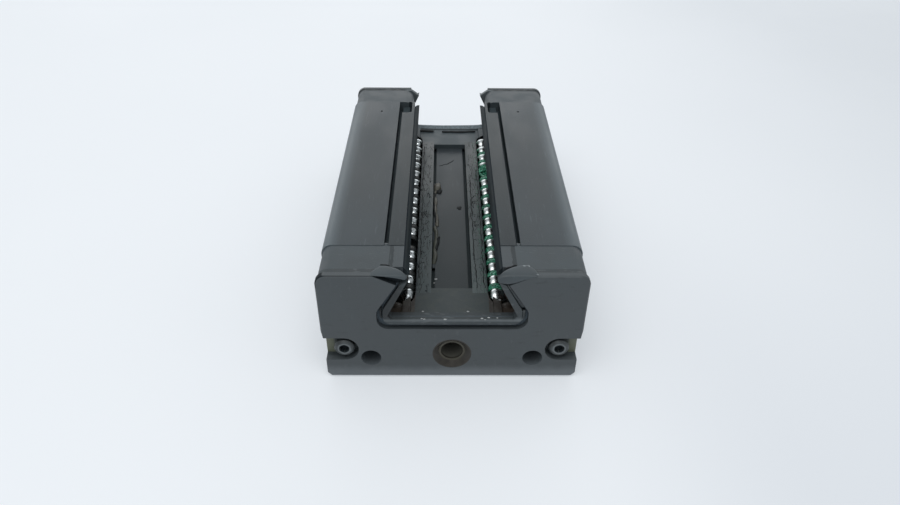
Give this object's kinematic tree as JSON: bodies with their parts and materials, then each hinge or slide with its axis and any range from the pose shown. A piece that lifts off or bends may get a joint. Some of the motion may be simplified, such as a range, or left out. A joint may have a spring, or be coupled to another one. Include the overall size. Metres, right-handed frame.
{
  "type": "linear guide block",
  "caption": "Recirculating ball linear guide block lying on its mounting face, with end seals, lubrication ports and worn ball rows along its open rail channel.",
  "frame": {"origin": "middle of the mounting face, on the plane that the block lies on", "axes": "+X across the rail to the right, +Y along the rail from the near end to the far end, +Z out of the mounting face towards the rail channel"},
  "size_m": [0.07, 0.1164, 0.0357],
  "materials": {
    "body_steel": "dark coated, ground along the leg tops, scuffed",
    "cap_plastic": "moulded, dusty",
    "plate_coating": "satin black grey",
    "seal_rubber": "dull black with pale scuffs",
    "strip_plastic": "grey, worn",
    "retainer_plastic": "greasy grey",
    "guide_plastic": "natural moulded plastic",
    "ball_steel": "polished",
    "spacer_plastic": "green moulded plastic",
    "screw_steel": "black oxide with a worn rim",
    "bush_brass": "tarnished"
  },
  "bodies": {
    "block": {"cap_screws_front": "screw_steel", "cap_screws_rear": "screw_steel", "carriage_body": "body_steel", "corner_retainer_left": "retainer_plastic", "corner_retainer_right": "retainer_plastic", "end_cap_front": "cap_plastic", "end_cap_rear": "cap_plastic", "inner_retainer_left": "retainer_plastic", "inner_retainer_right": "retainer_plastic", "port_bush_front": "bush_brass", "port_bush_rear": "bush_brass", "return_guides_front": "guide_plastic", "return_guides_rear": "guide_plastic", "return_tube_lower_left": "guide_plastic", "return_tube_lower_right": "guide_plastic", "return_tube_upper_left": "guide_plastic", "return_tube_upper_right": "guide_plastic", "seal_lip_front": "seal_rubber", "seal_lip_rear": "seal_rubber", "seal_plate_front": "plate_coating", "seal_plate_rear": "plate_coating", "side_lip_left": "seal_rubber", "side_lip_right": "seal_rubber", "side_seal_left": "strip_plastic", "side_seal_right": "strip_plastic"},
    "upper_right_loaded": {"upper_right_loaded_balls": "ball_steel", "upper_right_loaded_spacers": "spacer_plastic"},
    "upper_right_return": {"upper_right_return_balls": "ball_steel", "upper_right_return_spacers": "spacer_plastic"},
    "upper_right_front_turn": {"upper_right_front_turn_balls": "ball_steel", "upper_right_front_turn_spacers": "spacer_plastic"},
    "upper_right_rear_turn": {"upper_right_rear_turn_balls": "ball_steel", "upper_right_rear_turn_spacers": "spacer_plastic"},
    "upper_left_loaded": {"upper_left_loaded_balls": "ball_steel", "upper_left_loaded_spacers": "spacer_plastic"},
    "upper_left_return": {"upper_left_return_balls": "ball_steel", "upper_left_return_spacers": "spacer_plastic"},
    "upper_left_front_turn": {"upper_left_front_turn_balls": "ball_steel", "upper_left_front_turn_spacers": "spacer_plastic"},
    "upper_left_rear_turn": {"upper_left_rear_turn_balls": "ball_steel", "upper_left_rear_turn_spacers": "spacer_plastic"},
    "lower_right_loaded": {"lower_right_loaded_balls": "ball_steel", "lower_right_loaded_spacers": "spacer_plastic"},
    "lower_right_return": {"lower_right_return_balls": "ball_steel", "lower_right_return_spacers": "spacer_plastic"},
    "lower_right_front_turn": {"lower_right_front_turn_balls": "ball_steel", "lower_right_front_turn_spacers": "spacer_plastic"},
    "lower_right_rear_turn": {"lower_right_rear_turn_balls": "ball_steel", "lower_right_rear_turn_spacers": "spacer_plastic"},
    "lower_left_loaded": {"lower_left_loaded_balls": "ball_steel", "lower_left_loaded_spacers": "spacer_plastic"},
    "lower_left_return": {"lower_left_return_balls": "ball_steel", "lower_left_return_spacers": "spacer_plastic"},
    "lower_left_front_turn": {"lower_left_front_turn_balls": "ball_steel", "lower_left_front_turn_spacers": "spacer_plastic"},
    "lower_left_rear_turn": {"lower_left_rear_turn_balls": "ball_steel", "lower_left_rear_turn_spacers": "spacer_plastic"}
  },
  "joints": [
    {"name": "upper_right_loaded_run", "type": "slide", "parent": "block", "child": "upper_right_loaded", "axis": [0, 1, 0], "range_m": [0, 0.006]},
    {"name": "upper_right_return_run", "type": "slide", "parent": "block", "child": "upper_right_return", "axis": [0, 1, 0], "range_m": [-0.006, 0]},
    {"name": "upper_right_rear_turn_spin", "type": "hinge", "parent": "block", "child": "upper_right_rear_turn", "pos_m": [0.0182, 0.045, 0.01595], "axis": [0.2588, 0, 0.9659], "range_deg": [-60, 0]},
    {"name": "upper_right_front_turn_spin", "type": "hinge", "parent": "block", "child": "upper_right_front_turn", "pos_m": [0.0182, -0.045, 0.01595], "axis": [0.2588, 0, 0.9659], "range_deg": [-60, 0]},
    {"name": "upper_left_loaded_run", "type": "slide", "parent": "block", "child": "upper_left_loaded", "axis": [0, 1, 0], "range_m": [0, 0.006]},
    {"name": "upper_left_return_run", "type": "slide", "parent": "block", "child": "upper_left_return", "axis": [0, 1, 0], "range_m": [-0.006, 0]},
    {"name": "upper_left_rear_turn_spin", "type": "hinge", "parent": "block", "child": "upper_left_rear_turn", "pos_m": [-0.0182, 0.045, 0.01595], "axis": [-0.2588, 0, 0.9659], "range_deg": [0, 60]},
    {"name": "upper_left_front_turn_spin", "type": "hinge", "parent": "block", "child": "upper_left_front_turn", "pos_m": [-0.0182, -0.045, 0.01595], "axis": [-0.2588, 0, 0.9659], "range_deg": [0, 60]},
    {"name": "lower_right_loaded_run", "type": "slide", "parent": "block", "child": "lower_right_loaded", "axis": [0, 1, 0], "range_m": [0, 0.006]},
    {"name": "lower_right_return_run", "type": "slide", "parent": "block", "child": "lower_right_return", "axis": [0, 1, 0], "range_m": [-0.006, 0]},
    {"name": "lower_right_rear_turn_spin", "type": "hinge", "parent": "block", "child": "lower_right_rear_turn", "pos_m": [0.022, 0.045, 0.0284], "axis": [0, 0, 1], "range_deg": [-60, 0]},
    {"name": "lower_right_front_turn_spin", "type": "hinge", "parent": "block", "child": "lower_right_front_turn", "pos_m": [0.022, -0.045, 0.0284], "axis": [0, 0, 1], "range_deg": [-60, 0]},
    {"name": "lower_left_loaded_run", "type": "slide", "parent": "block", "child": "lower_left_loaded", "axis": [0, 1, 0], "range_m": [0, 0.006]},
    {"name": "lower_left_return_run", "type": "slide", "parent": "block", "child": "lower_left_return", "axis": [0, 1, 0], "range_m": [-0.006, 0]},
    {"name": "lower_left_rear_turn_spin", "type": "hinge", "parent": "block", "child": "lower_left_rear_turn", "pos_m": [-0.022, 0.045, 0.0284], "axis": [0, 0, 1], "range_deg": [0, 60]},
    {"name": "lower_left_front_turn_spin", "type": "hinge", "parent": "block", "child": "lower_left_front_turn", "pos_m": [-0.022, -0.045, 0.0284], "axis": [0, 0, 1], "range_deg": [0, 60]}
  ],
  "couplings": [
    {"joint": "upper_right_return_run", "follows": "upper_right_loaded_run", "ratio": -1},
    {"joint": "upper_right_rear_turn_spin", "follows": "upper_right_loaded_run", "rad_per_m": -174.53},
    {"joint": "upper_right_front_turn_spin", "follows": "upper_right_loaded_run", "rad_per_m": -174.53},
    {"joint": "upper_left_return_run", "follows": "upper_left_loaded_run", "ratio": -1},
    {"joint": "upper_left_rear_turn_spin", "follows": "upper_left_loaded_run", "rad_per_m": 174.53},
    {"joint": "upper_left_front_turn_spin", "follows": "upper_left_loaded_run", "rad_per_m": 174.53},
    {"joint": "lower_right_return_run", "follows": "lower_right_loaded_run", "ratio": -1},
    {"joint": "lower_right_rear_turn_spin", "follows": "lower_right_loaded_run", "rad_per_m": -174.53},
    {"joint": "lower_right_front_turn_spin", "follows": "lower_right_loaded_run", "rad_per_m": -174.53},
    {"joint": "lower_left_return_run", "follows": "lower_left_loaded_run", "ratio": -1},
    {"joint": "lower_left_rear_turn_spin", "follows": "lower_left_loaded_run", "rad_per_m": 174.53},
    {"joint": "lower_left_front_turn_spin", "follows": "lower_left_loaded_run", "rad_per_m": 174.53}
  ]
}
